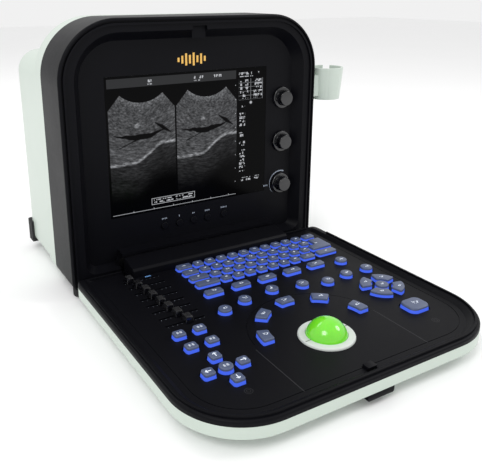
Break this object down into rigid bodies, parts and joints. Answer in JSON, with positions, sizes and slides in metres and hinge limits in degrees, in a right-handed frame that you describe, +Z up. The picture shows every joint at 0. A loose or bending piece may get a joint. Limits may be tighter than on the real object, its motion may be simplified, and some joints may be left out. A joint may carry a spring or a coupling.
{
  "type": "portable ultrasound scanner",
  "caption": "Portable ultrasound scanner: upright screen unit with knobs and probe cup, and a fold-up keyboard lid with sliders, lit keys and a trackball.",
  "frame": {"origin": "on the table under the two lines where the rim's front plane and the middle plane between the housing's sides meet", "axes": "+X to the right as seen from the keyboard, +Y back from the rim's front plane, +Z up from the table"},
  "size_m": [0.3932, 0.5268, 0.316],
  "materials": {
    "black_plastic": "satin moulded",
    "dark_plastic": "fine grain",
    "white_plastic": "semi gloss",
    "screen_glass": "dark display window",
    "steel": "zinc plated",
    "circuit_board": "solder mask",
    "rubber": "matt",
    "key_blue": "translucent, lit from below",
    "ball_green": "polished",
    "ring_plastic": "satin"
  },
  "bodies": {
    "screen_unit": {"chassis": "steel", "cover_screws": "steel", "encoders": "steel", "fan_guard": "steel", "fan_housing": "black_plastic", "feet": "rubber", "front_bezel": "black_plastic", "ground_pin": "steel", "handle_pivots": "black_plastic", "hinge_brackets": "steel", "hinge_pins": "steel", "holder_bracket": "white_plastic", "latch_catch": "dark_plastic", "lcd_panel": "steel", "main_board": "circuit_board", "mains_inlet": "black_plastic", "power_supply": "steel", "probe_holder": "white_plastic", "probe_sockets": "dark_plastic", "rear_cover": "white_plastic", "rear_feet": "rubber", "screen_lens": "screen_glass", "signal_ports": "steel"},
    "keyboard_lid": {"lid_shell": "white_plastic", "keyboard_deck": "black_plastic", "hinge_cover": "black_plastic", "keyboard_board": "circuit_board", "trackball_housing": "dark_plastic", "trackball_ring": "ring_plastic", "lid_feet": "rubber"},
    "arc_keys": {"arc_keys": "key_blue"},
    "bezel_button_1": {"bezel_button_1": "black_plastic"},
    "bezel_button_2": {"bezel_button_2": "black_plastic"},
    "bezel_button_3": {"bezel_button_3": "black_plastic"},
    "bezel_button_4": {"bezel_button_4": "black_plastic"},
    "bezel_button_5": {"bezel_button_5": "black_plastic"},
    "carrying_handle": {"carrying_handle": "black_plastic"},
    "fan_rotor": {"fan_rotor": "black_plastic"},
    "freeze_key": {"freeze_key": "key_blue"},
    "function_keys": {"function_keys": "key_blue"},
    "gain_slider_1": {"gain_slider_1": "dark_plastic"},
    "gain_slider_2": {"gain_slider_2": "dark_plastic"},
    "gain_slider_3": {"gain_slider_3": "dark_plastic"},
    "gain_slider_4": {"gain_slider_4": "dark_plastic"},
    "gain_slider_5": {"gain_slider_5": "dark_plastic"},
    "gain_slider_6": {"gain_slider_6": "dark_plastic"},
    "gain_slider_7": {"gain_slider_7": "dark_plastic"},
    "gain_slider_8": {"gain_slider_8": "dark_plastic"},
    "knob_lower": {"knob_lower": "black_plastic"},
    "knob_middle": {"knob_middle": "black_plastic"},
    "knob_upper": {"knob_upper": "black_plastic"},
    "latch_paddle": {"latch_paddle": "black_plastic"},
    "letter_keys": {"letter_keys": "key_blue"},
    "pad_keys_left": {"pad_keys_left": "key_blue"},
    "pad_keys_right": {"pad_keys_right": "key_blue"},
    "power_switch": {"power_switch": "black_plastic"},
    "probe_lock_lower": {"probe_lock_lower": "steel"},
    "probe_lock_upper": {"probe_lock_upper": "steel"},
    "round_keys": {"round_keys": "key_blue"},
    "trackball": {"trackball": "ball_green"}
  },
  "joints": [
    {"name": "lid_fold", "type": "hinge", "parent": "screen_unit", "child": "keyboard_lid", "pos_m": [0, -0.016, 0.0152], "axis": [-1, 0, 0], "range_deg": [0, 90]},
    {"name": "handle_fold", "type": "hinge", "parent": "screen_unit", "child": "carrying_handle", "pos_m": [0, 0.118, 0.281], "axis": [1, 0, 0], "range_deg": [0, 95]},
    {"name": "knob_upper_turn", "type": "hinge", "parent": "screen_unit", "child": "knob_upper", "pos_m": [0.128, 0.01, 0.2095], "axis": [0, -1, 0], "continuous": true},
    {"name": "knob_middle_turn", "type": "hinge", "parent": "screen_unit", "child": "knob_middle", "pos_m": [0.128, 0.01, 0.1512], "axis": [0, -1, 0], "continuous": true},
    {"name": "knob_lower_turn", "type": "hinge", "parent": "screen_unit", "child": "knob_lower", "pos_m": [0.128, 0.01, 0.093], "axis": [0, -1, 0], "continuous": true},
    {"name": "bezel_button_1_press", "type": "slide", "parent": "screen_unit", "child": "bezel_button_1", "axis": [0, 1, 0], "range_m": [0, 0.0012], "stiffness_N_per_m": 900, "springref_m": -0.0006},
    {"name": "bezel_button_2_press", "type": "slide", "parent": "screen_unit", "child": "bezel_button_2", "axis": [0, 1, 0], "range_m": [0, 0.0012], "stiffness_N_per_m": 900, "springref_m": -0.0006},
    {"name": "bezel_button_3_press", "type": "slide", "parent": "screen_unit", "child": "bezel_button_3", "axis": [0, 1, 0], "range_m": [0, 0.0012], "stiffness_N_per_m": 900, "springref_m": -0.0006},
    {"name": "bezel_button_4_press", "type": "slide", "parent": "screen_unit", "child": "bezel_button_4", "axis": [0, 1, 0], "range_m": [0, 0.0012], "stiffness_N_per_m": 900, "springref_m": -0.0006},
    {"name": "bezel_button_5_press", "type": "slide", "parent": "screen_unit", "child": "bezel_button_5", "axis": [0, 1, 0], "range_m": [0, 0.0012], "stiffness_N_per_m": 900, "springref_m": -0.0006},
    {"name": "fan_spin", "type": "hinge", "parent": "screen_unit", "child": "fan_rotor", "pos_m": [0.095, 0.178, 0.195], "axis": [0, 1, 0], "continuous": true},
    {"name": "power_switch_rock", "type": "hinge", "parent": "screen_unit", "child": "power_switch", "pos_m": [0.075, 0.1925, 0.06], "axis": [1, 0, 0], "range_deg": [-10, 0]},
    {"name": "probe_lock_upper_turn", "type": "hinge", "parent": "screen_unit", "child": "probe_lock_upper", "pos_m": [-0.071, 0.2, 0.205], "axis": [0, 1, 0], "range_deg": [0, 90]},
    {"name": "probe_lock_lower_turn", "type": "hinge", "parent": "screen_unit", "child": "probe_lock_lower", "pos_m": [-0.071, 0.2, 0.15], "axis": [0, 1, 0], "range_deg": [0, 90]},
    {"name": "trackball_roll", "type": "hinge", "parent": "keyboard_lid", "child": "trackball", "pos_m": [0.0015, -0.24, 0.0251], "axis": [1, 0, 0], "continuous": true},
    {"name": "latch_pull", "type": "slide", "parent": "keyboard_lid", "child": "latch_paddle", "axis": [0, 0, -1], "range_m": [0, 0.003], "stiffness_N_per_m": 400, "springref_m": -0.001},
    {"name": "gain_slider_1_move", "type": "slide", "parent": "keyboard_lid", "child": "gain_slider_1", "axis": [1, 0, 0], "range_m": [-0.0038, 0.0342]},
    {"name": "gain_slider_2_move", "type": "slide", "parent": "keyboard_lid", "child": "gain_slider_2", "axis": [1, 0, 0], "range_m": [-0.0078, 0.0302]},
    {"name": "gain_slider_3_move", "type": "slide", "parent": "keyboard_lid", "child": "gain_slider_3", "axis": [1, 0, 0], "range_m": [-0.0103, 0.0277]},
    {"name": "gain_slider_4_move", "type": "slide", "parent": "keyboard_lid", "child": "gain_slider_4", "axis": [1, 0, 0], "range_m": [-0.0118, 0.0262]},
    {"name": "gain_slider_5_move", "type": "slide", "parent": "keyboard_lid", "child": "gain_slider_5", "axis": [1, 0, 0], "range_m": [-0.0138, 0.0242]},
    {"name": "gain_slider_6_move", "type": "slide", "parent": "keyboard_lid", "child": "gain_slider_6", "axis": [1, 0, 0], "range_m": [-0.0153, 0.0227]},
    {"name": "gain_slider_7_move", "type": "slide", "parent": "keyboard_lid", "child": "gain_slider_7", "axis": [1, 0, 0], "range_m": [-0.0178, 0.0202]},
    {"name": "gain_slider_8_move", "type": "slide", "parent": "keyboard_lid", "child": "gain_slider_8", "axis": [1, 0, 0], "range_m": [-0.0213, 0.0167]},
    {"name": "letter_keys_press", "type": "slide", "parent": "keyboard_lid", "child": "letter_keys", "axis": [0, 0, -1], "range_m": [0, 0.0015], "stiffness_N_per_m": 1500, "springref_m": -0.0006},
    {"name": "function_keys_press", "type": "slide", "parent": "keyboard_lid", "child": "function_keys", "axis": [0, 0, -1], "range_m": [0, 0.0015], "stiffness_N_per_m": 1500, "springref_m": -0.0006},
    {"name": "round_keys_press", "type": "slide", "parent": "keyboard_lid", "child": "round_keys", "axis": [0, 0, -1], "range_m": [0, 0.0015], "stiffness_N_per_m": 1500, "springref_m": -0.0006},
    {"name": "arc_keys_press", "type": "slide", "parent": "keyboard_lid", "child": "arc_keys", "axis": [0, 0, -1], "range_m": [0, 0.0015], "stiffness_N_per_m": 1500, "springref_m": -0.0006},
    {"name": "pad_keys_left_press", "type": "slide", "parent": "keyboard_lid", "child": "pad_keys_left", "axis": [0, 0, -1], "range_m": [0, 0.0015], "stiffness_N_per_m": 1500, "springref_m": -0.0006},
    {"name": "pad_keys_right_press", "type": "slide", "parent": "keyboard_lid", "child": "pad_keys_right", "axis": [0, 0, -1], "range_m": [0, 0.0015], "stiffness_N_per_m": 1500, "springref_m": -0.0006},
    {"name": "freeze_key_press", "type": "slide", "parent": "keyboard_lid", "child": "freeze_key", "axis": [0, 0, -1], "range_m": [0, 0.0015], "stiffness_N_per_m": 1500, "springref_m": -0.0006}
  ]
}
